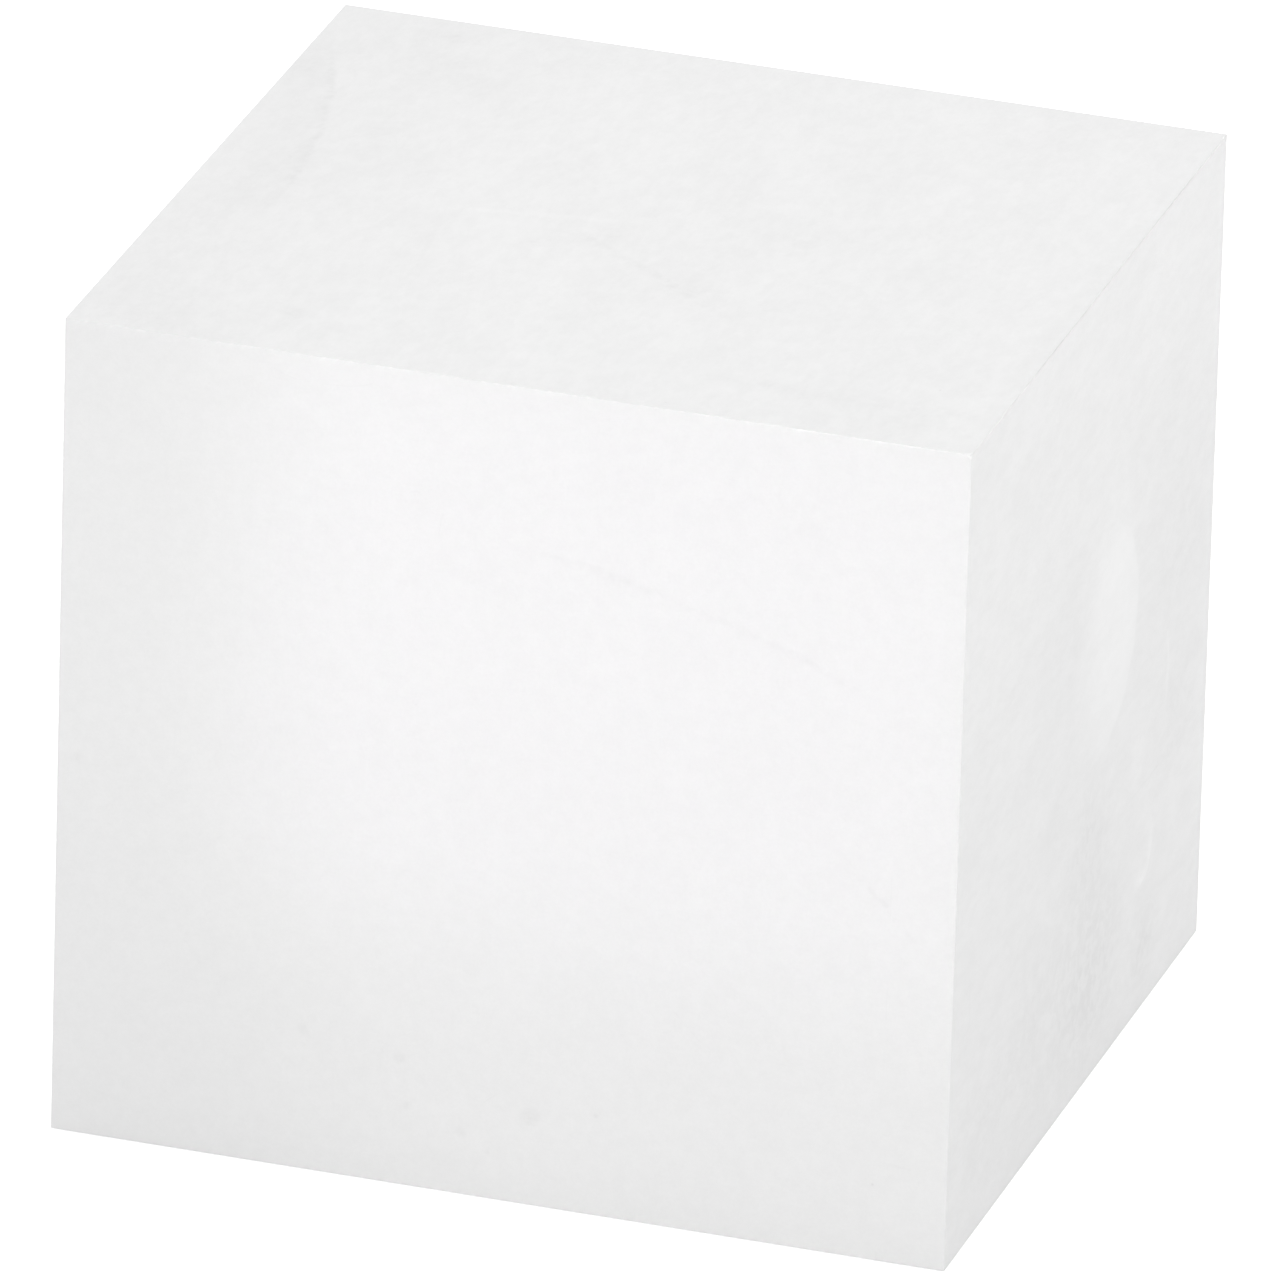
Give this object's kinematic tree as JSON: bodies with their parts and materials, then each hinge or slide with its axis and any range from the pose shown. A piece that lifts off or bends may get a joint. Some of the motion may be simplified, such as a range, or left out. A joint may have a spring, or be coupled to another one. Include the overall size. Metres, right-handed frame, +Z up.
{
  "type": "display cube",
  "caption": "Open-based white acrylic display cube with mitred bonded panels, inner corner strips and small round pads to stand on.",
  "frame": {"origin": "on the standing surface, under the middle of the cube", "axes": "+Z up to the top face, -Y out of the front panel, +X along the longer side, to the right as seen from the front"},
  "size_m": [0.32, 0.298, 0.302],
  "materials": {
    "opal_acrylic": "gloss opal white",
    "strip_acrylic": "sawn white acrylic, lightly polished",
    "pad_rubber": "matte grey"
  },
  "bodies": {
    "root": {"top_panel": "opal_acrylic", "front_panel": "opal_acrylic", "right_panel": "opal_acrylic", "back_panel": "opal_acrylic", "left_panel": "opal_acrylic", "corner_strip_front_left": "strip_acrylic", "corner_strip_front_right": "strip_acrylic", "corner_strip_back_left": "strip_acrylic", "corner_strip_back_right": "strip_acrylic", "top_strip_front": "strip_acrylic", "top_strip_back": "strip_acrylic", "top_strip_left": "strip_acrylic", "top_strip_right": "strip_acrylic", "foot_pad_front_left": "pad_rubber", "foot_pad_front_right": "pad_rubber", "foot_pad_back_left": "pad_rubber", "foot_pad_back_right": "pad_rubber"}
  },
  "joints": []
}
